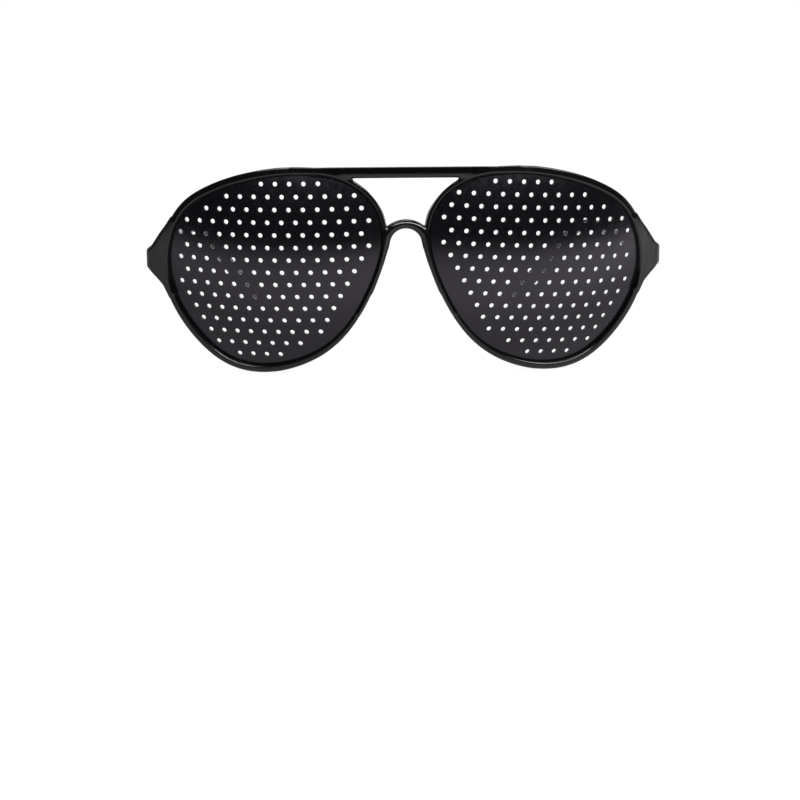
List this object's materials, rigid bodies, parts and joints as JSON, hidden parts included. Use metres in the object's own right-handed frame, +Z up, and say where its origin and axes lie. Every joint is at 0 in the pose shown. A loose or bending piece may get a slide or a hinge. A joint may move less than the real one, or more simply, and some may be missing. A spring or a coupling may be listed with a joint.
{
  "type": "pinhole glasses",
  "caption": "Aviator-shaped glasses with perforated opaque sheets in place of lenses, a brow bar, moulded nose pads and folding temples on screw hinges.",
  "frame": {"origin": "centre of the bounding box in X and Y, at its bottom in Z, with the temples open; the bottom is where the rims and the temple tips stand", "axes": "+X to the wearer's left, -Y the front of the glasses, +Y back along the temples, +Z up"},
  "size_m": [0.1554, 0.1612, 0.0627],
  "materials": {
    "frame_plastic": "glossy black",
    "lens_plastic": "black, slightly less glossy than the frame",
    "temple_plastic": "glossy black",
    "hinge_metal": "stamped and plated",
    "screw_metal": "turned, slotted head"
  },
  "bodies": {
    "front": {"front_frame": "frame_plastic", "lens_left": "lens_plastic", "lens_right": "lens_plastic", "hinge_front_leaf_left": "hinge_metal", "hinge_front_leaf_right": "hinge_metal", "hinge_screw_left": "screw_metal", "hinge_screw_right": "screw_metal"},
    "temple_left": {"temple_left": "temple_plastic", "hinge_temple_leaf_left": "hinge_metal"},
    "temple_right": {"temple_right": "temple_plastic", "hinge_temple_leaf_right": "hinge_metal"}
  },
  "joints": [
    {"name": "fold_left", "type": "hinge", "parent": "front", "child": "temple_left", "pos_m": [0.07322, -0.05665, 0.03436], "axis": [0, -0.0077, 1], "range_deg": [0, 75]},
    {"name": "fold_right", "type": "hinge", "parent": "front", "child": "temple_right", "pos_m": [-0.07322, -0.05665, 0.03436], "axis": [0, 0.0077, -1], "range_deg": [0, 69]}
  ]
}
